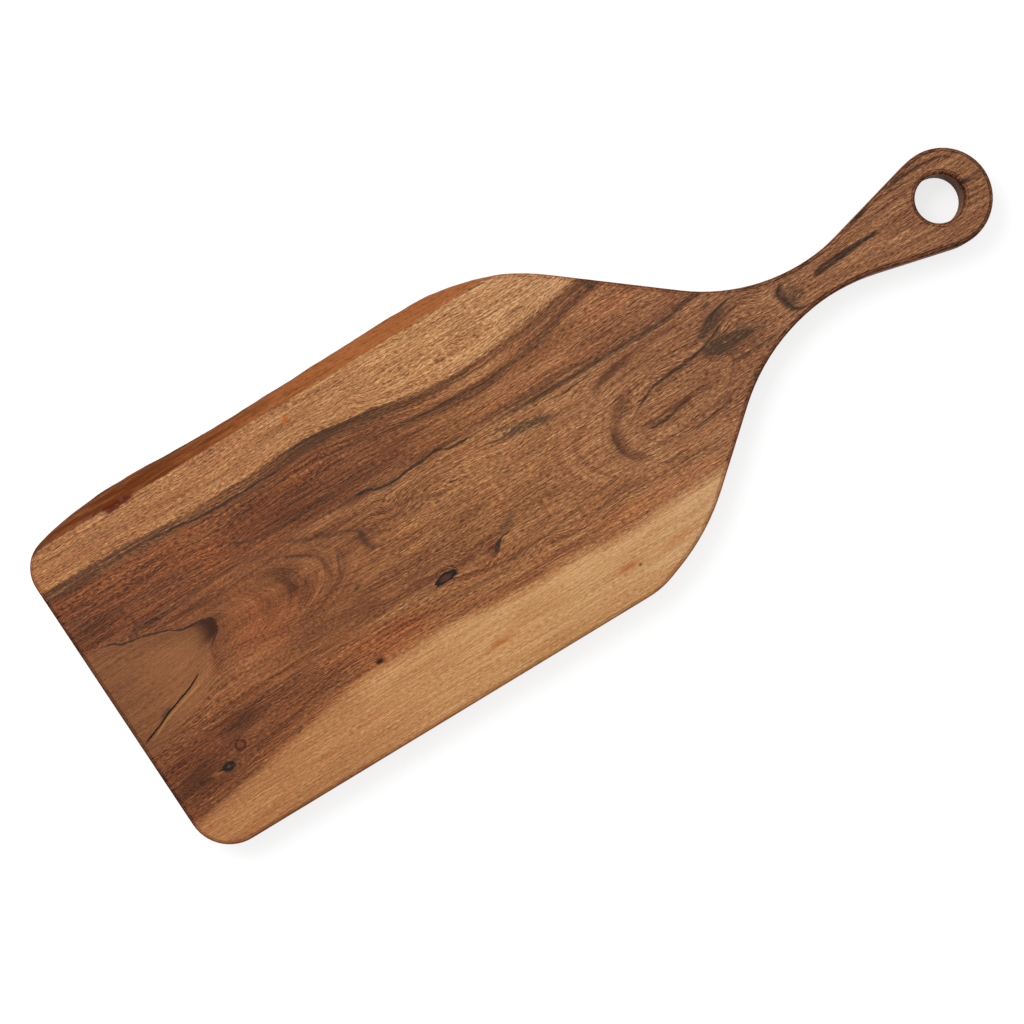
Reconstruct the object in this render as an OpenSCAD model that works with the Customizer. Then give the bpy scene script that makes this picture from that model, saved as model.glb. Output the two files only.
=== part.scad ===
// Paddle serving board: three edge-glued acacia staves, sawn to one outline and eased all round.
// The handle points along +X, the natural edge along +Y and the serving face along +Z.
// The origin lies under the middle of the board, on the surface that it rests on.

/* [Board] */
// Overall length, from the blunt end to the tip of the ring
board_l = 530; // [450:1:640]
// Overall width, from the sawn edge to the crest of the natural edge
board_w = 194; // [165:1:240]
// Thickness
board_t = 18; // [15:0.5:28]
// Radius that eases the top and bottom edges
edge_r = 2.5; // [1:0.1:4]

/* [Staves] */
// Width of the lower stave, from the sawn edge to the middle of its glue line
lower_stave_w = 60.7; // [48:0.1:74]
// Width of the handle stave, between the middles of the two glue lines
handle_stave_w = 63.2; // [54:0.1:76]
// Thickness of the cured glue between two staves
glue_t = 0.16; // [0.08:0.02:0.4]

/* [Blunt end] */
// Radius of the corner beside the sawn edge
corner_low_r = 22.6; // [8:0.1:34]
// Radius of the corner beside the natural edge
corner_high_r = 20; // [8:0.1:24]
// Distance from the crest line down to the centre of that corner
corner_high_drop = 25.6; // [20:0.1:36]
// Lean of the blunt end against a square cut, in degrees
end_skew = 2.3; // [0:0.1:5]

/* [Natural edge] */
// Width of the sloped wane at the crest
wane_w = 10.6; // [6:0.1:16]
// Height of the wane at the crest
wane_drop = 10.5; // [6:0.1:12]
// Distance from the blunt end to the trough between the two crests
trough_from_end = 132; // [110:1:170]
// Slope of the edge from the trough up to the crest by the shoulder, in degrees
rise_a = 1; // [0.5:0.1:2]
// Slope of the edge from the trough up to the crest by the blunt end, in degrees
dip_a = 1.5; // [0.5:0.1:2.5]
// Slope of the edge where it falls to the blunt end, in degrees
fall_a = 16; // [10:0.5:20]
// Radius of the crest by the blunt end
crest_r = 150; // [60:1:170]
// Radius of the trough
trough_r = 800; // [300:10:1200]

/* [Shoulders] */
// Slope of the lower shoulder where it runs into the neck, in degrees
shoulder_low_a = 41.5; // [36:0.5:46]
// Slope of the upper shoulder where it runs into the neck, in degrees
shoulder_high_a = 38; // [32:0.5:42]
// Radius of the lower shoulder
shoulder_low_r = 120; // [60:1:125]
// Radius of the upper shoulder
shoulder_high_r = 118; // [60:1:140]
// Slope of the short run between the sawn edge and the lower shoulder, in degrees
bend_a = 19.8; // [16:0.2:24]
// Radius of the bend from the sawn edge to that run
bend_r = 46; // [20:1:50]
// Height that the short run climbs
bend_h = 12.7; // [12:0.1:18]

/* [Handle] */
// Width of the neck at its waist
neck_w = 21.6; // [16:0.1:30]
// Offset of the neck's axis from the middle of the board, toward the natural edge
neck_off = -1.5; // [-6:0.1:6]
// Radius of the hollow under the neck
neck_low_r = 106; // [80:1:125]
// Radius of the hollow above the neck
neck_high_r = 97; // [70:1:115]
// Flare of the lower side from the neck to the ring, in degrees
flare_low_a = 13.6; // [11:0.1:16]
// Flare of the upper side from the neck to the ring, in degrees
flare_high_a = 15; // [12:0.1:17]
// Offset of the ring's centre from the middle of the board, toward the natural edge
ring_off = 0.4; // [-6:0.1:6]
// Outer diameter of the ring
ring_d = 52.2; // [44:0.1:64]
// Diameter of the hang hole
hole_d = 25.4; // [16:0.1:32]
// Distance that the hole sits back from the ring's centre, toward the neck
hole_back = 1.4; // [0:0.1:3]
// Distance that the hole sits off the ring's centre, toward the natural edge
hole_up = 0.6; // [-2:0.1:2]
// Radius that eases the hole's two rims
lip_r = 3; // [0.5:0.1:4]

/* [Hidden] */

// Greatest gap between a curve of the outline and its facets
sag = 0.04;
// Flat steps in each eased edge
edge_steps = 4;
// Length by which a cutting shape runs past what it cuts
overrun = 1;
// Share of that length by which the hole's eased rims run past the faces
lip_overrun_share = 0.1;
// Share of the fall that the round of the second crest may take up
crest_fit_share = 0.9;
// Share of a true round that the wane keeps at its fullest
wane_round_share = 0.25;
$fn = 96;

// Heights of the sawn edge, the crest and the two glue lines across the board
low_y = -board_w / 2;
high_y = board_w / 2;
lower_glue_y = low_y + lower_stave_w;
upper_glue_y = lower_glue_y + handle_stave_w;
// Straight line where the wane meets the serving face
wane_y = high_y - wane_w;

// A side of the outline is [a point on it, the angle of its outward normal]
function dir(a) = [cos(a), sin(a)];
function touching(centre, r, a) = [centre + r * dir(a), a];
// Where two sides cross
function meet(m, n) =
    let (a = dir(m[1]), b = dir(n[1]), p = a * m[0], q = b * n[0], det = a.x * b.y - a.y * b.x)
    [(p * b.y - q * a.y) / det, (a.x * q - b.x * p) / det];
// Where a side reaches a given height across the board
function at_y(m, y) = [m[0].x - (y - m[0].y) * tan(m[1]), y];
// Centre of a round of signed radius r that touches a side and has its centre at height y
function beside(m, r, y) = [(dir(m[1]) * m[0] - r - sin(m[1]) * y) / cos(m[1]), y];

// Ring, and the two hollows that draw the neck in beside it
ring_r = ring_d / 2;
ring_c = [board_l / 2 - ring_r, ring_off];
flare_low = touching(ring_c, ring_r, -90 - flare_low_a);
flare_high = touching(ring_c, ring_r, 90 + flare_high_a);
neck_low_c = beside(flare_low, -neck_low_r, neck_off - neck_w / 2 - neck_low_r);
neck_high_c = beside(flare_high, -neck_high_r, neck_off + neck_w / 2 + neck_high_r);
shoulder_low = touching(neck_low_c, -neck_low_r, -90 + shoulder_low_a);
shoulder_high = touching(neck_high_c, -neck_high_r, 90 - shoulder_high_a);

// Sawn edge, and the short run that bends from it to the lower shoulder
sawn_edge = [[0, low_y], -90];
short_run = [at_y(shoulder_low, low_y + bend_h), -90 + bend_a];

// Natural edge: a crest by the shoulder, a trough, a second crest and the fall to the blunt end
shoulder_high_c = beside(shoulder_high, shoulder_high_r, high_y - shoulder_high_r);
corner_high_c = [-board_l / 2 + corner_high_r, high_y - corner_high_drop];
rise = touching(shoulder_high_c, shoulder_high_r, 90 + rise_a);
trough_x = -board_l / 2 + trough_from_end;
dip = [meet(rise, [[trough_x, 0], 0]), 90 - dip_a];
fall = touching(corner_high_c, corner_high_r, 90 + fall_a);
blunt_end = touching(corner_high_c, corner_high_r, 180 + end_skew);
// Round of the second crest, held within the length of the fall beside it
crest_fit_r = min(crest_r, crest_fit_share * norm(meet(dip, fall) - fall[0]) / tan((dip_a + fall_a) / 2));

// Sides in order round the board, and the radius of the corner after each
sides = [sawn_edge, short_run, shoulder_low, flare_low, flare_high, shoulder_high, rise, dip, fall, blunt_end];
corner_rs = [bend_r, shoulder_low_r, neck_low_r, ring_r, neck_high_r, shoulder_high_r, trough_r, crest_fit_r,
    corner_high_r, corner_low_r];

// Points of the arc that rounds the corner after side i, each as [point, angle of its outward normal]
function corner_arc(i) =
    let (last = i == len(sides) - 1,
         m = sides[i],
         n = last ? sides[0] : sides[i + 1],
         turn = n[1] + (last ? 360 : 0) - m[1],
         r = corner_rs[i] * sign(turn),
         centre = meet(m, n) - r / cos(turn / 2) * dir(m[1] + turn / 2),
         steps = ceil(abs(turn) / (2 * acos(1 - sag / corner_rs[i]))))
    [for (k = [0 : steps]) let (a = m[1] + turn * k / steps) touching(centre, r, a)];

rim = [for (i = [0 : len(sides) - 1]) each corner_arc(i)];
rim_n = len(rim);

// How far the top edge draws in at a rim point: the eased edge, or the wane where that is wider
function draw_in(p) = sin(p[1]) > 0 ? max(edge_r, (p[0].y - wane_y) / sin(p[1])) : edge_r;
function wane_share(p) = (draw_in(p) - edge_r) / (wane_w - edge_r);

// One rim point drawn in and lifted, at a share of the way up the bottom or the top edge
function bottom_point(p, share) =
    let (q = p[0] - edge_r * (1 - sin(90 * share)) * dir(p[1]))
    [q.x, q.y, edge_r * (1 - cos(90 * share))];
function top_point(p, share) =
    let (flat_share = wane_share(p) * (1 - wane_round_share),
         in_share = (1 - flat_share) * (1 - cos(90 * share)) + flat_share * share,
         up_share = (1 - flat_share) * sin(90 * share) + flat_share * share,
         drop = edge_r + wane_share(p) * (wane_drop - edge_r),
         q = p[0] - draw_in(p) * in_share * dir(p[1]))
    [q.x, q.y, board_t - drop * (1 - up_share)];

// Triangles that fill a face of the board, worked from left to right between its two chains of points
function index_of(xs, x) = [for (i = [0 : len(xs) - 1]) if (xs[i] == x) i][0];
function zip(xs, low, high, i, j) =
    let (low_done = i == len(low) - 1, high_done = j == len(high) - 1)
    low_done && high_done ? [] :
    high_done || (!low_done && xs[low[i + 1]] <= xs[high[j + 1]]) ?
        concat([[low[i], low[i + 1], high[j]]], zip(xs, low, high, i + 1, j)) :
        concat([[low[i], high[j + 1], high[j]]], zip(xs, low, high, i, j + 1));

// The board before it is split into staves: the rim lofted from the bottom face to the top face
module whole_board() {
    rings = concat(
        [for (k = [0 : edge_steps]) [for (p = rim) bottom_point(p, k / edge_steps)]],
        [for (k = [0 : edge_steps]) [for (p = rim) top_point(p, k / edge_steps)]]);
    walls = [for (j = [0 : len(rings) - 2]) for (i = [0 : rim_n - 1])
        let (a = j * rim_n + i, b = j * rim_n + (i + 1) % rim_n, c = b + rim_n, d = a + rim_n)
        each [[a, d, c], [a, c, b]]];
    xs = [for (p = rim) p[0].x];
    left = index_of(xs, min(xs));
    right = index_of(xs, max(xs));
    low_n = (right - left + rim_n) % rim_n;
    low = [for (k = [0 : low_n]) (left + k) % rim_n];
    high = [for (k = [1 : rim_n - 1 - low_n]) (left - k + rim_n) % rim_n];
    face = zip(xs, low, high, 0, 0);
    top_from = (len(rings) - 1) * rim_n;
    polyhedron(
        points = [for (ring = rings) each ring],
        faces = concat(walls, face, [for (t = face) [t[0] + top_from, t[2] + top_from, t[1] + top_from]]));
}

// Everything beyond a glue line, from the blunt end as far as the neck; side is 1 above and -1 below
module beyond(glue_y, side) {
    translate([-board_l / 2 - overrun, side > 0 ? glue_y : glue_y - board_w, -overrun])
        cube([board_l / 2 + overrun + neck_high_c.x, board_w, board_t + 2 * overrun]);
}

// Hang hole with its two eased rims
module hang_hole() {
    hole_r = hole_d / 2;
    lip = [for (k = [0 : edge_steps]) let (a = 90 * k / edge_steps) lip_r * [1 - cos(a), sin(a)]];
    rim_z = board_t / 2 + overrun * lip_overrun_share;
    half = [for (p = lip) [hole_r + p.x, rim_z - lip_r + p.y]];
    translate([ring_c.x - hole_back, ring_c.y + hole_up, board_t / 2])
        rotate_extrude()
            polygon(concat(
                [[0, -rim_z]],
                [for (k = [len(half) - 1 : -1 : 0]) [half[k].x, -half[k].y]],
                half,
                [[0, rim_z]]));
}

// Stave with the sawn edge
module lower_stave() {
    color("peru") intersection() {
        whole_board();
        beyond(lower_glue_y - glue_t / 2, -1);
    }
}

// Middle stave, which carries the neck, the ring and the hang hole
module handle_stave() {
    color("sienna") difference() {
        whole_board();
        beyond(lower_glue_y + glue_t / 2, -1);
        beyond(upper_glue_y - glue_t / 2, 1);
        hang_hole();
    }
}

// Stave with the natural edge
module upper_stave() {
    color("burlywood") intersection() {
        whole_board();
        beyond(upper_glue_y + glue_t / 2, 1);
    }
}

// Film of cured glue that fills the joint at a given height across the board
module glue_film(glue_y) {
    intersection() {
        whole_board();
        translate([-board_l / 2 - overrun, glue_y - glue_t / 2, -overrun])
            cube([board_l / 2 + overrun + neck_high_c.x, glue_t, board_t + 2 * overrun]);
    }
}

module lower_glue_line() {
    color("saddlebrown") glue_film(lower_glue_y);
}

module upper_glue_line() {
    color("saddlebrown") glue_film(upper_glue_y);
}

lower_stave();
lower_glue_line();
handle_stave();
upper_glue_line();
upper_stave();
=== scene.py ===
# %% [markdown]
# # A paddle serving board in oiled acacia
#
# The board lies flat on its underside. It is glued up from three staves, and nothing on it moves.
# The outline, the eased edges and the hang hole come from the CAD model, so this script keeps those
# shapes and gives them what a saw and a sander leave behind: a rippled natural edge, a drying check
# and, above all, the figure of the wood.
#
# Each stave is one solid block of grain. The wood is painted in three dimensions from Object
# coordinates, so the edges, the ends, the hole's wall and the underside carry the same figure.

import math
from collections import namedtuple

import bmesh
import bpy
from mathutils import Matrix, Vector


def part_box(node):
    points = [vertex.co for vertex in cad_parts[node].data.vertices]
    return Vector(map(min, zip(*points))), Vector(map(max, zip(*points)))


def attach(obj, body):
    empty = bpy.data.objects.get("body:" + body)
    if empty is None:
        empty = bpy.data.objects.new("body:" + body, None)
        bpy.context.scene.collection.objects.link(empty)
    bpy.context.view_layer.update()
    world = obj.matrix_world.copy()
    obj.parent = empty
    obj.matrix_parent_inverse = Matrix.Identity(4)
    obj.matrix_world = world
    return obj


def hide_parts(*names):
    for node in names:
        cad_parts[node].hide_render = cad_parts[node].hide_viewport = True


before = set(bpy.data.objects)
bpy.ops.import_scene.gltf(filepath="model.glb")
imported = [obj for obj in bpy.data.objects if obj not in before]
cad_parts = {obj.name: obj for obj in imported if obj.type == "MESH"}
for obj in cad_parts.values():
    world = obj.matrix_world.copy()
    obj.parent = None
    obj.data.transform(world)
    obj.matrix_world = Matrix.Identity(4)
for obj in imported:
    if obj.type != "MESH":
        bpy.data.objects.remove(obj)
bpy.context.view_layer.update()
print("CAD nodes:", sorted(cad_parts))

# %% [markdown]
# ## Units and colours
#
# Blender works in metres, and wood is easier to think about in millimetres, so the shaders turn
# Object coordinates into millimetres first. Colours are written as screen values from 0 to 255 and
# turned into the linear values that the renderer mixes.

# %% Units and colours
MM = 0.001


def linear(red, green, blue):
    """A screen colour from 0 to 255 as the linear RGBA that nodes take."""
    parts = []
    for value in (red, green, blue):
        share = value / 255
        parts.append(share / 12.92 if share <= 0.04045 else ((share + 0.055) / 1.055) ** 2.4)
    return (*parts, 1.0)


FACE_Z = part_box("handle_stave")[1].z / MM
print(f"the serving face is {FACE_Z:.1f} mm above the table")

# %% [markdown]
# ## Welded stave blanks
#
# A CAD mesh arrives as loose triangles, so its copy is welded first. Flat triangles are joined into
# whole faces, and edges sharper than 35 degrees stay sharp. The normals are weighted by face area:
# the serving face then shades flat and only the rounded edge bends the light.

# %% Welded stave blanks
WELD_DISTANCE = 0.002 * MM
FLAT_ANGLE = math.radians(0.3)
SHARP_ANGLE = math.radians(35)


def welded_blank(node):
    """A welded copy of one CAD stave, as a new object with the same name ending in _wood."""
    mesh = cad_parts[node].data.copy()
    mesh.name = node + "_wood"
    mesh.materials.clear()
    work = bmesh.new()
    work.from_mesh(mesh)
    bmesh.ops.remove_doubles(work, verts=work.verts, dist=WELD_DISTANCE)
    bmesh.ops.dissolve_limit(work, angle_limit=FLAT_ANGLE, verts=work.verts, edges=work.edges)
    work.to_mesh(mesh)
    work.free()
    blank = bpy.data.objects.new(node + "_wood", mesh)
    bpy.context.scene.collection.objects.link(blank)
    return blank


lower = welded_blank("lower_stave")
handle = welded_blank("handle_stave")
upper = welded_blank("upper_stave")
for blank in (lower, handle, upper):
    print(blank.name, len(blank.data.vertices), "points", len(blank.data.polygons), "faces")


# %% [markdown]
# ## A bench for nodes
#
# A node tree written out link by link hides what it does. `Bench` has one short call for each kind of
# node used here, and takes either a number or another node's socket for every value.

# %% A bench for nodes
NUMBER = "NodeSocketFloat"
COLOUR = "NodeSocketColor"
# A Mix node holds sockets for every kind of data; these are its share and its colours.
MIX_SHARE, MIX_FIRST, MIX_SECOND, MIX_RESULT = 0, 6, 7, 2


class Bench:
    """Short calls that lay out nodes in one tree."""

    def __init__(self, tree):
        self.tree = tree
        self.sums = {}

    def feed(self, socket, value):
        if isinstance(value, bpy.types.NodeSocket):
            self.tree.links.new(value, socket)
        else:
            socket.default_value = value

    def node(self, kind, values=None, **settings):
        """A new node: its settings first, then values for its inputs, by name or by number."""
        made = self.tree.nodes.new(kind)
        for name, value in settings.items():
            setattr(made, name, value)
        for socket, value in (values or {}).items():
            self.feed(made.inputs[socket], value)
        return made

    def step(self, kind, values=None, **settings):
        """The first output of a new node."""
        return self.node(kind, values, **settings).outputs[0]

    def math(self, operation, *values, clamp=False):
        """One sum; a sum that was made before is used again."""
        known = (value if isinstance(value, (int, float)) else value.as_pointer() for value in values)
        key = (operation, clamp, *known)
        if key not in self.sums:
            terms = dict(enumerate(values))
            self.sums[key] = self.step("ShaderNodeMath", terms, operation=operation, use_clamp=clamp)
        return self.sums[key]

    def add(self, a, b):
        return self.math("ADD", a, b)

    def sub(self, a, b):
        return self.math("SUBTRACT", a, b)

    def mul(self, a, b):
        return self.math("MULTIPLY", a, b)

    def scaled(self, value, factor, offset):
        """value x factor + offset."""
        return self.math("MULTIPLY_ADD", value, factor, offset)

    def plus(self, total, value, factor):
        """total + value x factor, with the total worked out first, so that fewer values wait."""
        return self.add(total, self.mul(value, factor))

    def between(self, share, first, second):
        """A number from first to second as share goes from 0 to 1."""
        return self.scaled(share, second - first, first)

    def centred(self, cloud, width):
        """A cloud of values from 0 to 1 as a swing of that width around 0."""
        return self.scaled(cloud, width, -width / 2)

    def highest(self, *values):
        """The largest of several masks."""
        top = values[0]
        for value in values[1:]:
            top = self.math("MAXIMUM", top, value)
        return top

    def fade(self, value, start, end):
        """0 at start and 1 at end, eased; start may be the larger of the two."""
        ends = {"Value": value, "From Min": start, "From Max": end}
        return self.step("ShaderNodeMapRange", ends, interpolation_type="SMOOTHSTEP")

    def place(self, x, y, z):
        return self.step("ShaderNodeCombineXYZ", {"X": x, "Y": y, "Z": z})

    def in_mm(self, position):
        """The x, y and z of a position, in millimetres."""
        split = self.node("ShaderNodeSeparateXYZ", {0: position})
        return [self.mul(out, 1 / MM) for out in split.outputs]

    def texture(self, kind, spot, rates, **values):
        """A texture stretched along each axis of spot; an axis with rate 0 is left out."""
        there = self.place(*(self.mul(axis, rate) if rate else 0.0 for axis, rate in zip(spot, rates)))
        return self.node(kind, {"Vector": there, "Scale": 1.0, **values}).outputs

    def noise(self, spot, rates, detail=2.0, roughness=0.5):
        """Cloudy values from 0 to 1; a rate is how many blobs fit in one millimetre of its axis."""
        return self.texture("ShaderNodeTexNoise", spot, rates, Detail=detail, Roughness=roughness)[0]

    def cells(self, spot, rates):
        """Distance to the nearest of scattered points, and a random value for that point."""
        found = self.texture("ShaderNodeTexVoronoi", spot, rates)
        return found["Distance"], self.step("ShaderNodeSeparateColor", {0: found["Color"]})

    def blend(self, share, first, second, **settings):
        """Colour from first to second as share goes from 0 to 1."""
        parts = {MIX_SHARE: share, MIX_FIRST: first, MIX_SECOND: second}
        return self.node("ShaderNodeMix", parts, data_type="RGBA", **settings).outputs[MIX_RESULT]

    def tint(self, colour, factors):
        """A colour with its red, green and blue multiplied."""
        return self.blend(1.0, colour, (*factors, 1.0), blend_type="MULTIPLY")

    def curve(self, points, along):
        """The height at along of a smooth line drawn through points, all in millimetres."""
        xs = [x for x, _ in points]
        ys = [y for _, y in points]
        low_x, wide = min(xs), max(xs) - min(xs)
        low_y, tall = min(ys), max(ys) - min(ys)
        share = self.math("DIVIDE", self.sub(along, low_x), wide, clamp=True)
        made = self.node("ShaderNodeFloatCurve", {"Value": share})
        line = made.mapping.curves[0]
        for index, (x, y) in enumerate(sorted(points)):
            spot = ((x - low_x) / wide, (y - low_y) / tall)
            if index < 2:
                line.points[index].location = spot
            else:
                line.points.new(*spot)
        for point in line.points:
            point.handle_type = "AUTO_CLAMPED"
        made.mapping.update()
        return self.scaled(made.outputs[0], tall, low_y)

    def group(self, name, **values):
        """One of the shared groups, with underscores in value names standing for spaces."""
        values = {label.replace("_", " "): value for label, value in values.items()}
        return self.node("ShaderNodeGroup", values, node_tree=bpy.data.node_groups[name]).outputs


def new_group(name, takes, gives):
    """An empty shader group with number inputs; returns its bench, its inputs and its outputs."""
    tree = bpy.data.node_groups.new(name, "ShaderNodeTree")
    for label, value in takes.items():
        tree.interface.new_socket(label, in_out="INPUT", socket_type=NUMBER).default_value = value
    for label, kind in gives.items():
        tree.interface.new_socket(label, in_out="OUTPUT", socket_type=kind)
    bench = Bench(tree)
    return bench, bench.node("NodeGroupInput").outputs, bench.node("NodeGroupOutput").inputs


# %% [markdown]
# ## Where a point lies in the stave
#
# Growth rings lean as they go down through a board, so a streak on the serving face comes out some
# way to the side on the underside. This group gives each point's place along and across the board,
# slid by that lean, and its depth under the serving face. A little wander keeps drawn lines from
# looking ruled.

# %% Where a point lies in the stave
bench, takes, gives = new_group(
    "Stave Place",
    {"Lean Along": 1.0, "Lean Across": 0.3, "Wander": 0.8},
    {"Along": NUMBER, "Across": NUMBER, "Depth": NUMBER},
)
x, y, z = bench.in_mm(bench.node("ShaderNodeTexCoord").outputs["Object"])
depth = bench.sub(FACE_Z, z)
along = bench.add(x, bench.mul(depth, takes["Lean Along"]))
across = bench.add(y, bench.mul(depth, takes["Lean Across"]))
drift = bench.centred(bench.noise((x, y, z), (0.09, 0.2, 0.1), 3.0), 2.0)
drift = bench.mul(drift, takes["Wander"])
bench.feed(gives["Along"], bench.add(along, drift))
bench.feed(gives["Across"], bench.add(across, drift))
bench.feed(gives["Depth"], depth)

# %% [markdown]
# ## Grain
#
# Acacia has broad soft colour bands, fine fibre lines and open pores, which show as short dark
# dashes along the grain. The bands follow the growth rings, so they take the ring place. Fibres and
# pores follow the trunk, so they take the plain place across the board.

# %% Grain
bench, takes, gives = new_group(
    "Acacia Grain",
    {"Along": 0.0, "Across": 0.0, "Ring": 0.0, "Depth": 0.0, "Fleck": 0.0, "Bend": 0.0},
    {"Band": NUMBER, "Fibre": NUMBER, "Pore": NUMBER, "Hue": NUMBER},
)
along, across, ring, depth, fleck, bend = takes[:6]
broad = bench.noise((along, ring, depth), (0.006, 0.16, 0.05), 3.0, 0.55)
narrow = bench.noise((along, ring, depth), (0.012, 0.62, 0.2), 3.0, 0.6)
bench.feed(gives["Band"], bench.scaled(bench.add(broad, narrow), 2.2, -2.2))
sway = bench.noise((along, across, depth), (0.04, 0.1, 0.05), 2.0)
wiggle = bench.noise((along, across, depth), (0.14, 0.3, 0.3), 1.0)
flow = bench.add(bench.centred(sway, 3.0), bench.centred(wiggle, 0.5))
flow = bench.add(bench.sub(across, bend), flow)
short = bench.noise((along, flow, depth), (0.38, 2.4, 2.4), 2.0, 0.65)
dots = bench.noise((along, flow, depth), (0.6, 1.3, 1.3), 2.0, 0.65)
long = bench.noise((along, flow, depth), (0.03, 1.4, 1.4), 1.5, 0.6)
fine = bench.add(bench.mul(short, bench.sub(1.0, fleck)), bench.mul(dots, fleck))
bench.feed(gives["Fibre"], bench.add(bench.centred(fine, 5.6), bench.centred(long, 3.4)))
gap, strength = bench.cells((along, flow, depth), (0.16, 1.2, 1.2))
pore = bench.mul(bench.fade(gap, 0.42, 0.2), bench.fade(strength, 0.1, 0.8))
bench.feed(gives["Pore"], bench.mul(pore, bench.between(fleck, 1.0, 0.4)))
hue = bench.noise((along, ring, depth), (0.018, 0.12, 0.08), 2.0)
speck = bench.noise((along, flow, depth), (0.2, 1.1, 1.1), 1.0)
bench.feed(gives["Hue"], bench.add(bench.centred(hue, 3.2), bench.centred(speck, 2.0)))

# %% [markdown]
# ## Colour from tone
#
# Heartwood and sapwood of one board share one family of browns. A single tone from 0, the darkest
# streak, to 1, the palest sapwood, picks the colour, so every band and shade stays in that family.
# Warm pulls that colour towards red above 0 and towards olive below 0, and Ash makes it paler and
# greyer, as wood nearer the neck is.

# %% Colour from tone
ACACIA_TONES = (
    (0.00, (34, 19, 12)),
    (0.16, (70, 38, 20)),
    (0.34, (108, 65, 37)),
    (0.50, (138, 87, 52)),
    (0.64, (161, 107, 65)),
    (0.80, (185, 132, 82)),
    (1.00, (212, 165, 114)),
)
REDDER = (1.12, 0.86, 0.72)
OLIVE = (0.86, 0.98, 0.92)
ASHEN = (1.03, 1.12, 1.36)
bench, takes, gives = new_group("Acacia Colour", {"Tone": 0.5, "Warm": 0.0, "Ash": 0.0}, {"Colour": COLOUR})
ramp = bench.node("ShaderNodeValToRGB", {0: takes["Tone"]})
picked = ramp.outputs[0]
stops = ramp.color_ramp.elements
for index, (position, colour) in enumerate(ACACIA_TONES):
    stop = stops[index] if index < 2 else stops.new(position)
    stop.position = position
    stop.color = linear(*colour)
redder = bench.tint(picked, REDDER)
olive = bench.tint(picked, OLIVE)
colour = bench.blend(bench.fade(takes["Warm"], 0.0, 1.0), picked, redder)
colour = bench.blend(bench.fade(takes["Warm"], 0.0, -1.0), colour, olive)
ashen = bench.tint(colour, ASHEN)
bench.feed(gives["Colour"], bench.blend(takes["Ash"], colour, ashen))

# %% [markdown]
# ## Edges
#
# Sanding rounds the edges and end grain drinks more oil, so both come out darker than the face. The
# rounded edge, the crease where it starts and a band half way down it are darkened further as painted
# shade. The way a point faces tells which it is.

# %% Edges
bench, takes, gives = new_group(
    "Edges", {}, {"Rounding": NUMBER, "Crease": NUMBER, "Brim": NUMBER, "End": NUMBER, "Face": NUMBER}
)
normal = bench.node("ShaderNodeTexCoord").outputs["Normal"]
facing = bench.node("ShaderNodeSeparateXYZ", {0: normal}).outputs
upright = bench.math("ABSOLUTE", facing["Z"])
bench.feed(gives["Rounding"], bench.fade(upright, 0.995, 0.8))
bench.feed(gives["Crease"], bench.mul(bench.fade(upright, 0.9995, 0.99), bench.fade(upright, 0.9, 0.97)))
bench.feed(gives["Brim"], bench.mul(bench.fade(upright, 0.8, 0.55), bench.fade(upright, 0.1, 0.4)))
bench.feed(gives["End"], bench.fade(bench.math("ABSOLUTE", facing["X"]), 0.4, 0.9))
bench.feed(gives["Face"], facing["Z"])

# %% [markdown]
# ## Drawn figure: streaks and spots
#
# No two boards have the same figure, so the strong marks of this one are drawn one by one, the way a
# grain painter works: dark streaks follow a line, and shades and knots are soft ellipses. One shared
# tremble of the pen keeps their edges from looking ruled. All sizes are in millimetres on the board:
# x runs from the blunt end to the ring, and y from the sawn edge to the natural edge.

# %% Drawn figure: streaks and spots
bench, takes, gives = new_group(
    "Streak",
    {
        "Along": 0.0, "Across": 0.0, "Height": 0.0, "Start": 0.0, "End": 1.0,
        "Fade In": 8.0, "Fade Out": 8.0, "Half Width": 1.0, "Soft": 0.7,
    },
    {"Mask": NUMBER},
)
gap = bench.math("ABSOLUTE", bench.sub(takes["Across"], takes["Height"]))
firm = bench.mul(takes["Half Width"], bench.sub(1.0, takes["Soft"]))
body = bench.fade(gap, takes["Half Width"], firm)
head = bench.fade(takes["Along"], takes["Start"], bench.add(takes["Start"], takes["Fade In"]))
tail = bench.fade(takes["Along"], takes["End"], bench.sub(takes["End"], takes["Fade Out"]))
bench.feed(gives["Mask"], bench.mul(body, bench.mul(head, tail)))

bench, takes, gives = new_group(
    "Spot",
    {
        "Along": 0.0, "Across": 0.0, "Centre Along": 0.0, "Centre Across": 0.0,
        "Half Length": 10.0, "Half Width": 4.0, "Turn": 0.0,
    },
    {"Reach": NUMBER},
)
dx = bench.sub(takes["Along"], takes["Centre Along"])
dy = bench.sub(takes["Across"], takes["Centre Across"])
cosine = bench.math("COSINE", takes["Turn"])
sine = bench.math("SINE", takes["Turn"])
run = bench.math("DIVIDE", bench.add(bench.mul(dx, cosine), bench.mul(dy, sine)), takes["Half Length"])
rise = bench.math("DIVIDE", bench.sub(bench.mul(dy, cosine), bench.mul(dx, sine)), takes["Half Width"])
bench.feed(gives["Reach"], bench.math("SQRT", bench.add(bench.mul(run, run), bench.mul(rise, rise))))

# %% [markdown]
# ## Painting a stave
#
# `Wood` is a bench that starts with one stave's place, grain and edges and adds a call for each kind
# of mark. A stave is then painted in a painter's order: the ground colour of the grown wood, streaks,
# knots, and at last the oil.
#
# A streak is a `Line`: its points, half its width, how strong and how soft it is, and how far its two
# ends fade. A shade is a `Patch`: its middle, half its length and width, its turn in degrees and how
# strong it is. A `Knot` is given in the same way, with the share that its dark rim takes.

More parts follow.
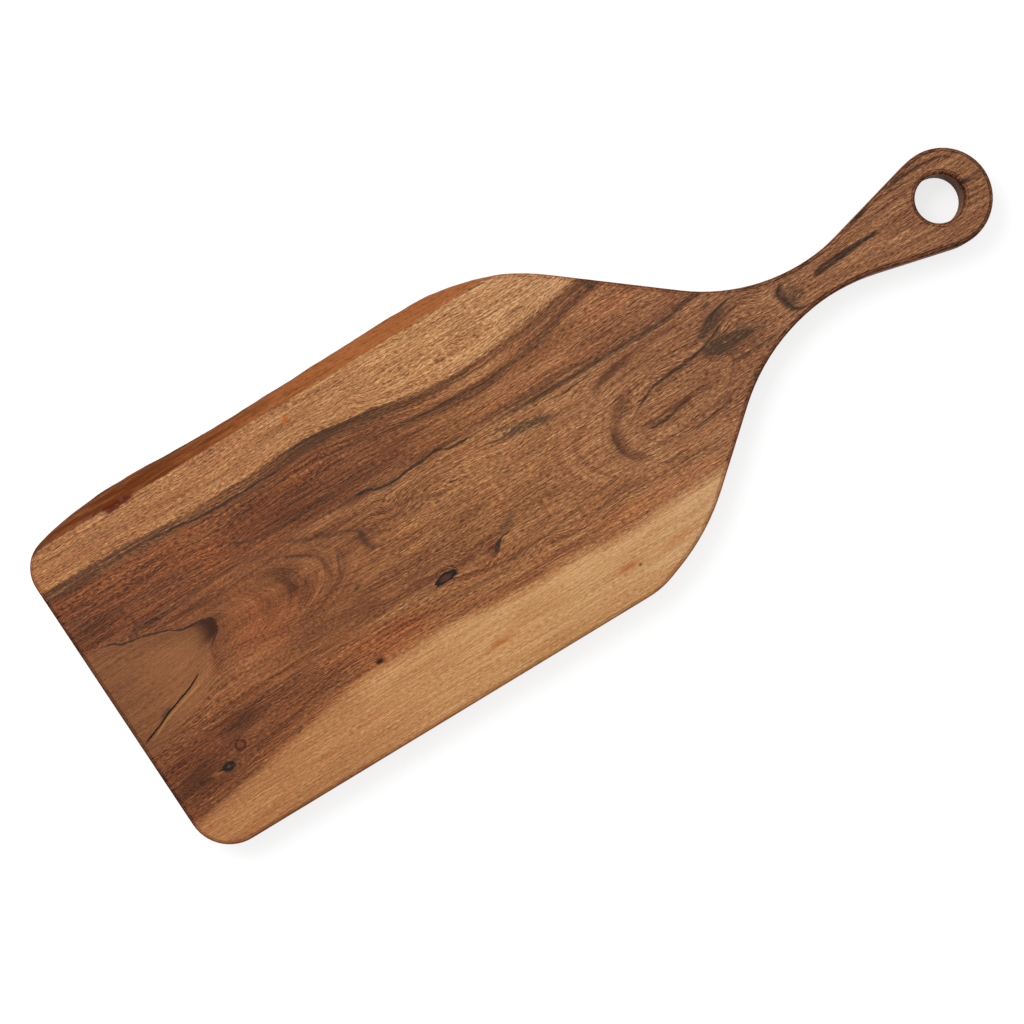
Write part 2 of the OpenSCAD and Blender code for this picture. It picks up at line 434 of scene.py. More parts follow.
# %% Painting a stave
GRIT_RATES = (0.2, 0.9, 0.5)
TREMBLE_RATES = (0.25, 1.6, 1.6)
TREMBLE_ALONG, TREMBLE_ACROSS = 2.0, 1.6
FIBRE_BREAKS = 0.32
KNOT_RAGGEDNESS = 0.13
# Tone lost on edges: Rounding is partly oiled wood and partly painted shade, Crease and Brim are painted
# shade, End is end grain that drinks more oil.
EDGE_SHADE_AND_OIL = {"Rounding": 0.10, "Crease": 0.14, "Brim": 0.14, "End": 0.11}
EDGE_WARMTH = 0.4
HUE_SWING = 0.34
BLUNT_END_WARMTH = 0.3
OIL_ROUGHNESS, PORE_ROUGHNESS = 0.46, 0.64
FACE_SHINE, WALL_SHINE = 0.15, 0.02
BUMP_STRENGTH = 0.35
PORE_DEPTH = 0.1 * MM
FIBRE_RELIEF = 0.25
PORE_SHARE = 0.52
INK = linear(44, 31, 23)
RED = linear(84, 40, 24)
PORE = linear(72, 42, 26)

Line = namedtuple("Line", "path half ink soft fades cross", defaults=(0.7, (8, 8), False))
Patch = namedtuple("Patch", "x y length width turn amount", defaults=(0, 1.0))
Knot = namedtuple("Knot", "x y length width turn rim", defaults=(0, 0.35))


class Wood(Bench):
    """A stave's material while it is being painted."""

    def __init__(self, name, lean_along, lean_across):
        self.material = bpy.data.materials.new(name)
        self.material.use_nodes = True
        super().__init__(self.material.node_tree)
        place = self.group("Stave Place", Lean_Along=lean_along, Lean_Across=lean_across)
        self.spot = place["Along"], place["Across"], place["Depth"]
        self.along, self.across, self.depth = self.spot
        self.grit = self.between(self.fade(self.noise(self.spot, GRIT_RATES), 0.25, 0.6), 0.65, 1.0)
        tremble = self.sub(self.noise(self.spot, TREMBLE_RATES), 0.5)
        self.pen_along = self.scaled(tremble, TREMBLE_ALONG, self.along)
        self.pen_across = self.scaled(tremble, TREMBLE_ACROSS, self.across)
        self.edges = self.group("Edges")
        self.heights = {}

    def grow(self, ring, fleck=0.0, bend=0.0):
        """Lays the grain: ring is the place across the growth rings, in millimetres."""
        self.grain = self.group(
            "Acacia Grain",
            Along=self.along,
            Across=self.across,
            Ring=ring,
            Depth=self.depth,
            Fleck=fleck,
            Bend=bend,
        )
        self.broken = self.scaled(self.grain["Fibre"], -FIBRE_BREAKS, 1.0)

    def curve(self, points, along):
        """The height of a drawn line, worked out once for each line and kept for the next use."""
        key = (points, along.node.name, along.name)
        if key not in self.heights:
            self.heights[key] = super().curve(points, along)
        return self.heights[key]

    def above(self, points):
        """How far a point lies above a drawn line."""
        return self.sub(self.across, self.curve(points, self.along))

    def line(self, mark):
        """The mask of one drawn streak; a cross streak runs across the board."""
        along, across = self.pen_along, self.pen_across
        if mark.cross:
            along, across = across, along
        return self.mul(
            self.group(
                "Streak",
                Along=along,
                Across=across,
                Height=self.curve(mark.path, along),
                Start=min(x for x, _ in mark.path),
                End=max(x for x, _ in mark.path),
                Fade_In=mark.fades[0],
                Fade_Out=mark.fades[1],
                Half_Width=mark.half,
                Soft=mark.soft,
            )["Mask"],
            mark.ink,
        )

    def lines(self, *marks):
        """One mask of many streaks, uneven in strength along each."""
        drawn = self.line(marks[0])
        for mark in marks[1:]:
            drawn = self.highest(drawn, self.line(mark))
        return self.mul(drawn, self.grit)

    def reach(self, mark):
        """0 at the middle of an ellipse and 1 on its rim."""
        return self.group(
            "Spot",
            Along=self.pen_along,
            Across=self.pen_across,
            Centre_Along=mark.x,
            Centre_Across=mark.y,
            Half_Length=mark.length,
            Half_Width=mark.width,
            Turn=math.radians(mark.turn),
        )["Reach"]

    def patch(self, mark):
        """A soft ellipse, strongest in its middle."""
        return self.mul(self.fade(self.reach(mark), 1.0, 0.0), mark.amount)

    def patches(self, *marks):
        """The sum of many soft ellipses."""
        total = self.patch(marks[0])
        for mark in marks[1:]:
            total = self.add(total, self.patch(mark))
        return total

    def streaky(self, mask):
        """A mask broken up along the fibres."""
        return self.mul(mask, self.broken)

    def paint(self, mask, colour):
        """Lays a colour over what is there, as strong as the mask."""
        self.colour = self.blend(mask, self.colour, colour)

    def knot(self, mark, rim_colour, core_colour):
        """Paints a small knot: a dark rim round a paler core."""
        reach = self.plus(self.reach(mark), self.grain["Fibre"], KNOT_RAGGEDNESS)
        inside = self.fade(reach, 1.15, 0.9)
        core = self.fade(reach, 1.05 - mark.rim, 0.85 - 1.4 * mark.rim)
        self.paint(inside, linear(*rim_colour))
        self.paint(core, linear(*core_colour))

    def grown(self, base, swing, hair, warm):
        """Starts with the wood's colour: base tone, ring bands, fibres, and edges darkened by oil and
        painted shade.
        """
        tone = self.plus(base, self.grain["Band"], swing)
        depth_of_hair = self.mul(hair, self.fade(base, -0.1, 0.5))
        tone = self.plus(tone, self.grain["Fibre"], depth_of_hair)
        # Edges darken: painted shade on the rounding, crease and brim, and oil in the end grain.
        rounding, crease, brim, end = (self.mul(self.edges[part], loss) for part, loss in EDGE_SHADE_AND_OIL.items())
        tone = self.sub(tone, self.add(self.add(rounding, crease), self.add(brim, end)))
        warm = self.add(self.mul(self.grain["Hue"], HUE_SWING), warm)
        warm = self.plus(warm, self.edges["Rounding"], EDGE_WARMTH)
        warm = self.plus(warm, self.fade(self.along, -60, -200), BLUNT_END_WARMTH)
        ash = self.fade(self.along, -60, 130)
        self.colour = self.group("Acacia Colour", Tone=tone, Warm=warm, Ash=ash)["Colour"]

    def finish(self, pore):
        """Principled shader of oiled wood, with pores as small pits."""
        skin = self.tree.nodes["Principled BSDF"]
        self.paint(self.mul(pore, PORE_SHARE), PORE)
        self.feed(skin.inputs["Base Color"], self.colour)
        self.feed(skin.inputs["Roughness"], self.between(pore, OIL_ROUGHNESS, PORE_ROUGHNESS))
        shine = self.between(self.edges["Rounding"], FACE_SHINE, WALL_SHINE)
        self.feed(skin.inputs["Specular IOR Level"], shine)
        relief = self.sub(self.mul(self.grain["Fibre"], FIBRE_RELIEF), pore)
        pits = {"Strength": BUMP_STRENGTH, "Distance": PORE_DEPTH, "Height": relief}
        self.feed(skin.inputs["Normal"], self.step("ShaderNodeBump", pits))
        return self.material


# %% [markdown]
# ## Lower stave
#
# Dark heartwood along the glue line turns to golden sapwood along the sawn edge. The change follows
# one growth ring, feathered by the bands on both sides of it.

# %% Lower stave: grown wood
HEART_TONE = 0.45
LOWER_SAP_TONE = 0.75
FEATHER = 4.0
LOWER_EDGE = (
    (-266, -77), (-248, -74), (-220, -69.5), (-200, -65), (-180, -61.5), (-160, -58), (-140, -55.5),
    (-100, -55.5), (-85, -56), (-70, -59), (-50, -60.3), (-20, -61), (7, -63), (30, -61.5), (80, -60.5),
)
LOWER_DRIFT = (
    (-266, -0.12), (-220, -0.10), (-180, -0.07), (-140, 0.0), (-100, 0.06), (-40, 0.10), (30, 0.10),
    (90, 0.09),
)
wood = Wood("lower wood", 0.8, -0.5)
ring = wood.above(LOWER_EDGE)
bend = wood.patches(
    Patch(-62, -42, 22, 9, 0, -3.5),
    Patch(-28, -43, 20, 9, 0, 3.0),
    Patch(22, -43, 24, 10, 0, 1.5),
    Patch(-216, -50, 12, 6, 0, 2.5),
    Patch(-225, -63, 12, 6, 0, -2.5),
)
wood.grow(ring, bend=bend)
sap = wood.fade(wood.plus(ring, wood.grain["Band"], FEATHER), FEATHER, -FEATHER)
shade = wood.patches(
    Patch(-240, -56, 42, 13, 4, -0.16),
    Patch(-210, -43, 24, 9, 8, -0.17),
    Patch(-165, -44, 35, 7, 6, -0.06),
    Patch(-134, -45, 30, 8, 0, 0.06),
    Patch(-50, -37, 80, 6, 0, -0.07),
    Patch(20, -44, 60, 7, 0, -0.05),
    Patch(-70, -56, 50, 3.5, -3, -0.05),
    Patch(46, -54, 44, 8, 0, 0.08),
    Patch(-140, -63, 26, 7, 8, 0.09),
    Patch(-20, -65, 120, 8, 0, 0.06),
    Patch(-230, -84, 60, 10, 0, 0.08),
    Patch(-40, -92, 150, 7, 0, -0.07),
    Patch(-160, -75, 70, 12, 0, 0.04),
)
base = wood.between(sap, HEART_TONE, LOWER_SAP_TONE)
base = wood.add(wood.add(base, wood.curve(LOWER_DRIFT, wood.along)), shade)
blush = wood.patches(Patch(-122, -46, 40, 10, 0, 0.6), Patch(30, -55, 70, 8, 0, 0.3))
warm = wood.add(wood.between(sap, 0.2, -0.15), blush)
swing = wood.between(sap, 0.18, 0.08)
hair = wood.between(sap, 0.27, 0.16)
wood.grown(base, swing, hair, warm)

# %% [markdown]
# Over that ground go dark streaks in ink and reddish ones in rust, then small burls, and at last dots,
# eyes and two knots.

# %% Lower stave: streaks and knots
BURL = linear(170, 104, 53)
EYE = linear(46, 17, 9)
dark = wood.lines(
    Line(
        ((-200, -58), (-185, -54.5), (-170, -50.5), (-155, -45.5), (-145, -42.5), (-130, -41)),
        0.9, 0.4,
    ),
    Line(((-262, -74.5), (-245, -72.5), (-228, -69.5), (-212, -66.5)), 0.9, 0.5, 1.0),
    Line(((-255, -71), (-235, -68.5), (-215, -64)), 0.8, 0.4, 1.0),
    Line(((-80, -37), (-62, -41), (-50, -43), (-36, -46)), 1.2, 0.55, 1.0),
    Line(((-50, -39.5), (-38, -42.5), (-27, -42.3), (-14, -40), (0, -37.5)), 1.2, 0.5, 1.0),
    Line(((-96, -41), (-80, -44.5), (-62, -46), (-45, -50)), 1.2, 0.35, 1.0),
    Line(((-2, -46.5), (8, -44), (18, -41.5), (30, -39.4)), 1.2, 0.5, 1.0),
    Line(((2, -50), (14, -47.5), (26, -45.5), (38, -44.5)), 1.2, 0.4, 1.0),
    Line(((44, -43.4), (52, -42.5), (62, -41.6)), 1.2, 0.6, 0.9, (3, 4)),
    Line(((55, -45.5), (66, -46.3), (86, -45.5)), 0.8, 0.45),
)
wood.paint(dark, INK)
rust = wood.lines(
    Line(((-150, -52), (-135, -50), (-115, -49.5), (-100, -51)), 1.4, 0.5, 1.0),
    Line(((-135, -43.5), (-118, -43), (-100, -45), (-84, -48)), 1.5, 0.5, 1.0),
    Line(((-70, -50), (-50, -54), (-30, -53.5), (-8, -55.5)), 1.3, 0.45, 1.0),
    Line(((-30, -47.5), (-12, -49.5), (2, -53), (20, -52)), 1.3, 0.45, 1.0),
    Line(((24, -55), (42, -52.5), (60, -53)), 1.3, 0.4, 1.0),
)
wood.paint(rust, RED)
burl = wood.patches(
    Patch(-75.5, -76.7, 8, 2.4, -4, 0.6),
    Patch(-74, -76.5, 18, 4.5, -2, 0.5),
    Patch(1.5, -78, 8, 2.4, 2, 0.6),
    Patch(2, -78, 18, 4.5, 0, 0.5),
    Patch(32, -78.5, 20, 3.5, 0, 0.5),
    Patch(-232, -59, 8, 2.2, 0, 0.7),
)
wood.paint(wood.streaky(burl), BURL)
dots = wood.patches(
    Patch(-183, -44, 1.8, 1.2, 0, 0.9),
    Patch(-187, -62.7, 1.8, 1.2, 0, 0.9),
    Patch(7.6, -80.3, 1.6, 1.1, 0, 0.9),
)
wood.paint(dots, RED)
eyes = wood.patches(Patch(-132.7, -53, 3.6, 2.2, 0, 1.5), Patch(-231.5, -58.6, 4.5, 1.2, -6, 1.1))
wood.paint(eyes, EYE)
wood.knot(Knot(-227, -59, 3.8, 2.4, -4, 0.62), (24, 15, 11), (96, 74, 60))
wood.knot(Knot(-216.4, -52.7, 3.2, 2.9, 0, 0.32), (64, 30, 18), (112, 58, 32))
lower_wood = wood.finish(wood.mul(wood.grain["Pore"], wood.between(sap, 1.0, 0.2)))

# %% [markdown]
# ## Upper stave
#
# Golden sapwood runs under the natural edge. Where the heartwood starts there is an olive-dark band,
# and a second dark band runs under it towards the shoulder.

# %% Upper stave: grown wood
UPPER_SAP_TONE = 0.73
EDGE_LEVEL = 60
UPPER_EDGE = (
    (-266, 66.4), (-215, 66.2), (-199, 64.8), (-150, 63.6), (-128, 64.2), (-118, 65), (-108, 65.2),
    (-100, 64.6), (-89, 63), (-78, 61.4), (-67, 60.2), (-56, 58), (-44, 55.9), (-33, 54.6), (-22, 54),
    (-11, 54), (0, 55.2), (11, 56.3), (22, 57.6), (33, 59.2), (44, 61), (56, 63), (70, 64),
)
UPPER_DRIFT = (
    (-266, -0.13), (-200, -0.11), (-130, -0.11), (-80, -0.07), (-40, 0.0), (10, 0.03), (50, 0.01),
    (90, 0.0),
)
SECOND_BAND = (
    (-75, 47), (-52, 44), (-38, 43), (-22, 42), (-11, 41.6), (0, 42.6), (11, 44), (22, 46), (33, 49),
    (44, 52.6), (58, 55),
)
wood = Wood("upper wood", 0.8, 0.5)
ring = wood.above(UPPER_EDGE)
fleck = wood.patches(Patch(-112, 50, 45, 17, 0, 0.9), Patch(-78, 68, 22, 9, 0, 0.7))
edge_rise = wood.sub(wood.curve(UPPER_EDGE, wood.along), EDGE_LEVEL)
near_edge = wood.mul(wood.fade(ring, 16, 2), wood.fade(ring, -26, -6))
eddies = wood.patches(Patch(-172, 38, 26, 12, 0, -2.0), Patch(-78, 70, 12, 9, 0, 3.0))
bend = wood.add(wood.mul(edge_rise, near_edge), eddies)
wood.grow(ring, wood.math("MINIMUM", fleck, 1.0), bend)
late = wood.fade(wood.along, -150, -100)
feather = wood.plus(ring, wood.grain["Fibre"], 0.6)
first = wood.fade(feather, -1.4, 1.6)
later = wood.fade(feather, -6.0, -3.6)
first = wood.mul(first, wood.between(late, 0.65, 1.0))
later = wood.mul(later, wood.between(late, 0.35, 0.0))
sap = wood.add(first, later)
shade = wood.patches(
    Patch(-245, 37, 50, 9, 0, -0.07),
    Patch(-180, 37, 16, 9, -20, 0.10),
    Patch(-143, 40, 34, 11, -8, -0.10),
    Patch(-115, 32, 45, 7, 0, -0.10),
    Patch(-215, 55, 60, 6, 0, 0.05),
    Patch(-160, 52, 40, 5, -2, 0.04),
    Patch(-80, 36, 45, 10, 0, -0.07),
    Patch(-18, 47.6, 56, 5, 2, 0.17),
    Patch(10, 33, 60, 8, 0, 0.05),
    Patch(70, 42, 45, 14, -20, 0.05),
    Patch(-225, 76, 70, 13, 0, -0.06),
    Patch(5, 72, 60, 18, 0, -0.07),
)
band = wood.mul(wood.fade(ring, -8.0, -4.0), wood.fade(ring, 0.4, -1.6))
dim = wood.mul(band, wood.between(late, 0.05, 0.13))
second = wood.lines(Line(SECOND_BAND, 4.2, 1.0, 1.0, (30, 6)))
dim = wood.plus(dim, second, 0.2)
base = wood.add(wood.between(sap, HEART_TONE, UPPER_SAP_TONE), wood.curve(UPPER_DRIFT, wood.along))
base = wood.add(base, wood.sub(shade, dim))
warm = wood.sub(wood.between(sap, 0.3, -0.1), wood.mul(wood.highest(band, second), 0.7))
blush = wood.patches(Patch(-115, 48, 36, 12, 0, 0.2), Patch(-180, 37, 20, 10, -20, 0.4))
warm = wood.add(warm, blush)
swing = wood.between(sap, 0.13, 0.09)
hair = wood.between(sap, 0.28, 0.31)
wood.grown(base, swing, hair, warm)

# %% [markdown]
# Streaks and dots go on first. The natural edge is the wood just under the bark: redder and smoother
# than the face, with a patch of bark left on it.

# %% Upper stave: streaks and natural edge
AMBER = linear(178, 84, 26)
BARE_WANE = linear(154, 91, 49)
RED_WANE = linear(88, 41, 16)
WANE_FIBRE = linear(80, 44, 24)
CRUST = linear(86, 28, 5)
dark = wood.lines(
    Line(((-266, 65.3), (-235, 65.4), (-205, 64.4), (-180, 62.6)), 1.8, 0.6, 1.0),
    Line(((-266, 62), (-240, 62.2), (-220, 61.8), (-199, 62)), 1.3, 0.7, 0.9),
    Line(
        (
            (-206, 62), (-199, 61.7), (-188, 60.6), (-177, 59), (-166, 58.1), (-155, 57.9), (-133, 58.1),
            (-126, 58),
        ),
        0.8, 1.0, 0.6, (6, 3),
    ),
    Line(((-140, 57.8), (-118, 58.7), (-108, 59.7), (-90, 59)), 0.8, 0.5),
    Line(((-128, 63.6), (-112, 64), (-100, 63.4), (-86, 61), (-72, 59.5), (-60, 57)), 0.8, 0.6, 0.9),
    Line(((-124, 61), (-108, 61.6), (-94, 60.4), (-80, 58.2), (-66, 56)), 0.8, 0.5, 0.9),
    Line(((-172, 39.5), (-163, 36.5), (-155, 34), (-140, 32.4), (-124, 31.4)), 1.2, 0.6, 1.0),
    Line(((-262, 44), (-240, 46), (-222, 44.5), (-205, 46.5)), 0.9, 0.4),
    Line(((-236, 52), (-215, 50.6), (-195, 51.5)), 0.8, 0.35),
    Line(((-230, 39), (-212, 37.6), (-192, 35)), 0.9, 0.4),
    Line(((-60, 44.4), (-45, 43.8), (-30, 43.2), (-18, 42.4)), 0.7, 0.9, 0.8),
    Line(((-45, 40.4), (-30, 39.6), (-12, 38.9), (0, 39.6)), 0.8, 0.65, 0.9),
    Line(((-96, 52), (-80, 48), (-66, 46), (-50, 42)), 0.9, 0.45, 0.9),
    Line(((-92, 42), (-76, 39), (-60, 38.5), (-42, 36)), 0.9, 0.4, 0.9),
    Line(((4, 86.6), (9, 86.2), (16, 85.4)), 0.7, 0.8, 0.7, (2, 2)),
    Line(((-34, 86.6), (-31, 86.5), (-28, 86.4)), 0.6, 0.6, 0.7, (1, 1)),
    Line(((14, 65), (20, 65.2), (26, 65)), 0.5, 0.7, 0.7, (2, 2)),
)
wood.paint(dark, INK)
wood.paint(wood.streaky(wood.patch(Patch(60, 56, 6, 5, 0, 0.9))), INK)
dots = wood.patches(
    Patch(-119, 49, 1.8, 1.1, 0, 0.9),
    Patch(-123, 44, 2.2, 1.0, 0, 0.8),
    Patch(-104, 45, 1.8, 1.2, 0, 0.8),
    Patch(-111, 41, 2.0, 1.0, 0, 0.7),
    Patch(-98, 51, 1.6, 1.0, 0, 0.7),
)
wood.paint(dots, RED)
wood.paint(wood.patch(Patch(-110, 78.4, 2.9, 1.9, 0, 1.3)), AMBER)
on_wane = wood.mul(wood.fade(wood.edges["Face"], 0.992, 0.965), wood.fade(wood.across, 84.5, 86.5))
weather = wood.noise(wood.spot, (0.035, 0.3, 0.3), 3.0, 0.6)
redness = wood.add(wood.fade(wood.along, -20, -200), wood.scaled(weather, 2.2, -1.25))
wane = wood.blend(wood.fade(redness, 0.0, 1.0), BARE_WANE, RED_WANE)
wane = wood.blend(wood.fade(wood.grain["Fibre"], 0.0, -1.8), wane, WANE_FIBRE)
wood.paint(wood.mul(on_wane, 0.92), wane)
crust = wood.patches(
    Patch(-208, 87.0, 15, 4.0, -4, 1.1),
    Patch(-210, 85.0, 7, 2.4, 6, 1.3),
    Patch(-201, 86.0, 6, 1.8, -6, 1.1),
)
wood.paint(wood.streaky(crust), CRUST)
upper_wood = wood.finish(wood.grain["Pore"])

# %% [markdown]
# ## Handle stave
#
# The middle stave was sawn through a fork of the tree: a side branch left a smooth tan zone at the
# blunt end, with dark bark pinched in the crotch, and the rings bend round it. Before the neck the
# saw grazed a ring that bulges upward, which shows as an oval.

# %% Handle stave: rings and fork
BRANCH_TOP = (
    (-266, 30), (-256, 28.5), (-248, 26.4), (-240, 22.9), (-232, 21.3), (-223, 18.9), (-217, 16.8),
    (-212, 13.9), (-207, 12.9), (-200, 12.6), (-197, 11.3), (-193, 8.6),
)
BRANCH_LOW = (
    (-266, -37), (-248, -33), (-230, -28), (-217, -23), (-212, -17), (-207, -10.5), (-205, -6.4),
    (-203, -1.4), (-193, 6),
)
OVAL_ACROSS = (
    (-100, -6), (-20, -12), (10, -16), (30, -21), (65, -20), (85, -18), (100, -14), (120, -8), (150, -2),
    (266, 2),
)
OVAL_UNDER = (
    (-100, 32), (-20, 34), (10, 26), (28, 15), (36, 6), (50, 2), (80, 2), (92, 5), (105, 11), (125, 17),
    (150, 20), (266, 14),
)
FORK_LIFT = (
    (-266, 0), (-245, 1.5), (-225, 4), (-208, 8), (-195, 9), (-175, 8), (-150, 5), (-120, 1.5), (-95, 0),
)
wood = Wood("handle wood", 0.9, 0.2)
off_oval = wood.above(OVAL_ACROSS)
under = wood.plus(wood.curve(OVAL_UNDER, wood.along), wood.depth, 0.5)
ring = wood.math("SQRT", wood.add(wood.mul(off_oval, off_oval), wood.mul(under, under)))
low_side = wood.mul(wood.fade(wood.across, -38, -12), wood.fade(wood.across, 16, 0))
high_side = wood.mul(wood.fade(wood.across, 27, 14), wood.fade(wood.across, -4, 8))
bend = wood.mul(wood.curve(FORK_LIFT, wood.along), wood.sub(low_side, wood.mul(high_side, 0.3)))
bend = wood.add(
    bend,
    wood.patches(
        Patch(-60, 13, 28, 14, 0, 3.0),
        Patch(-88, 10, 14, 12, 0, -3.0),
        Patch(-20, 10, 16, 12, 0, -2.0),
        Patch(62, 2, 44, 16, 6, 4.0),
        Patch(60, -34, 40, 9, 0, -3.0),
        Patch(118, 8, 20, 12, 20, 4.0),
        Patch(-81, -28, 14, 6, 0, 2.5),
    ),
)
fork = wood.math("MINIMUM", wood.patch(Patch(-165, -2, 78, 50, 0, 1.5)), 1.0)
wood.grow(ring, fork, bend)
over_branch = wood.above(BRANCH_TOP)
branch = wood.mul(wood.fade(over_branch, 0.5, -0.7), wood.fade(wood.above(BRANCH_LOW), -3.0, 5.0))
branch = wood.mul(branch, wood.fade(wood.along, -193.5, -199))
nose = wood.sub(wood.across, 4)
nose = wood.plus(wood.along, wood.mul(nose, nose), 0.08)
arcs = wood.noise((nose, wood.across, wood.depth), (0.13, 0.03, 0.1), 3.0, 0.65)
arcs = wood.mul(wood.centred(arcs, 3.2), wood.patch(Patch(-140, 2, 58, 34, 0, 1.6)))
swirl = wood.noise((nose, wood.across, wood.depth), (0.9, 0.2, 0.5), 2.0, 0.6)
bent = wood.mul(fork, wood.sub(1.0, branch))
swirl = wood.mul(wood.centred(swirl, 4.4), bent)

# %% [markdown]
# The ground colour is one tone with soft shades on it. In the fork the rings show as arcs round its
# nose, and in the branch the fibres nearly vanish.

# %% Handle stave: grown wood
HANDLE_DRIFT = (
    (-266, -0.10), (-190, -0.09), (-150, -0.09), (-110, -0.07), (-70, -0.02), (-30, 0.03), (20, 0.05),
    (60, 0.01), (110, -0.03), (135, 0.02), (180, -0.07), (266, -0.06),
)
HANDLE_TONE = 0.50
shade = wood.patches(
    Patch(-188, -16, 30, 16, 20, 0.07),
    Patch(-218, -30, 28, 7, 12, 0.08),
    Patch(-204, -10, 5, 12, -25, -0.06),
    Patch(-180, 4, 16, 12, 0, 0.03),
    Patch(-192, 9, 9, 7, -20, -0.10),
    Patch(-198, 19, 40, 6, -10, -0.09),
    Patch(-99, 25.5, 25, 5, 0, -0.24),
    Patch(-235, 25, 35, 5, 8, -0.05),
    Patch(-152, 6, 12, 22, 12, -0.10),
    Patch(-140, 21, 40, 6, -8, -0.05),
    Patch(-107, 6, 9, 14, 16, -0.10),
    Patch(-135, -22, 40, 10, 0, -0.03),
    Patch(-45, 2, 70, 16, 0, 0.10),
    Patch(-75, -31, 45, 7, 0, -0.07),
    Patch(20, 25, 130, 5, 0, -0.17),
    Patch(-60, 26, 45, 4, 0, -0.10),
    Patch(44, -3, 20, 9, 35, -0.11),
    Patch(58, -28, 16, 5, 0, 0.08),
    Patch(72, -12, 20, 5, 6, 0.06),
    Patch(31, -20, 6, 13, 8, -0.18),
    Patch(37, -32, 7, 5, -35, -0.14),
    Patch(105, -6, 22, 9, 0, -0.08),
    Patch(149, -2, 9, 10, 0, -0.07),
    Patch(135, 4, 12, 10, 0, 0.05),
    Patch(190, -4, 60, 12, 0, 0.04),
)
tan = wood.mul(wood.fade(wood.along, -262, -220), 0.08)
base = wood.add(wood.add(wood.mul(branch, tan), HANDLE_TONE), wood.curve(HANDLE_DRIFT, wood.along))
# A painted shade line along the crease where the neck's edge starts to round.
neck_crease_shade = wood.mul(wood.edges["Crease"], wood.fade(wood.along, 110, 160))
base = wood.plus(base, neck_crease_shade, -0.18)
plain_wood = wood.between(branch, 1.0, 0.1)
base = wood.plus(base, shade, plain_wood)
base = wood.add(base, wood.add(wood.mul(arcs, 0.17), wood.mul(swirl, 0.10)))
crotch = wood.patches(Patch(-216, 13, 40, 9, -14, -0.10), Patch(-202, 4, 14, 12, 0, -0.08))
base = wood.add(base, crotch)
swing = wood.plus(wood.between(branch, 0.20, 0.05), bent, -0.06)
hair = wood.plus(wood.between(branch, 0.28, 0.11), bent, -0.14)
warm = wood.add(wood.between(branch, 0.1, -0.35), wood.patch(Patch(-176, -2, 48, 28, 0, 0.3)))
wood.grown(base, swing, hair, warm)

# %% [markdown]
# Smudges of dark stain, one of them painted shade beside the drying check, and red halos go on first.
# The oval's ring, the fine dark lines and the rusty ones are drawn over them.

# %% Handle stave: stains and streaks
SMUDGE = linear(60, 44, 32)
HALO = linear(88, 42, 27)
OVAL_RING = linear(74, 45, 29)
soft = wood.patches(
    Patch(-8, 12.0, 24, 5.6, -9, 0.75),
    Patch(4, 9.6, 10, 4.2, -10, 0.5),
    Patch(100, -5.2, 13, 7.6, -8, 1.5),
    Patch(112, -5.6, 18, 6.4, -6, 1.0),
    Patch(103, 7.0, 13, 4.8, 22, 1.3),
    Patch(107, 10.8, 12, 2.8, 20, 0.8),
    Patch(97, 4.6, 7, 2.6, 15, 0.9),
    Patch(146, -2.5, 9, 11, 0, 0.5),
    Patch(-40, -26, 13, 4, 26, 0.5),
    Patch(105, 16.4, 5, 1.8, 4, 1.0),
    Patch(-26.2, -3.6, 3.4, 1.1, -6, 1.2),
    Patch(-82, 21.6, 11, 2.2, -4, 0.8),
    Patch(-122.8, -14.2, 4.2, 1.8, 38, 1.1),
    Patch(-246.4, 17.5, 3, 1.4, -20, 0.5),
    Patch(-238, 14, 9, 0.9, -3, 0.4),
    # Painted shade beside the drying check, on its upper lip.
    Patch(-240.5, -18.8, 7, 2.2, 24, 1.0),
    Patch(-69, 6.5, 7, 2.2, -20, 0.5),
)
wood.paint(wood.streaky(wood.math("MINIMUM", soft, 0.82)), SMUDGE)
halo = wood.patches(
    Patch(-94, -31, 13, 4, 0, 0.5),
    Patch(-53, -33.4, 9, 4.6, 10, 1.1),
    Patch(-66, -32.5, 12, 3.6, 0, 0.5),
    Patch(-218, -23.7, 1.8, 1.4, 0, 1.1),
    Patch(-195, -2.6, 2.0, 1.2, 60, 0.7),
)
wood.paint(wood.streaky(halo), HALO)
rings = wood.lines(
    Line(
        (
            (-38, 42), (-34, 36.5), (-30, 33), (-25, 30.6), (-20, 30.4), (-15, 32.4), (-10, 36.4), (-4, 42),
            (3, 47),
        ),
        6.0, 0.55, 1.0, (7, 9), True,
    ),
    Line(((30, 6.6), (36, 9.4), (44, 11.8), (53, 13.6), (62, 14.6)), 4.0, 0.7, 1.0, (6, 8)),
    Line(((-36, 52), (-30, 47), (-24, 44), (-18, 45)), 2.0, 0.45, 1.0, (2, 3), True),
)
wood.paint(rings, OVAL_RING)
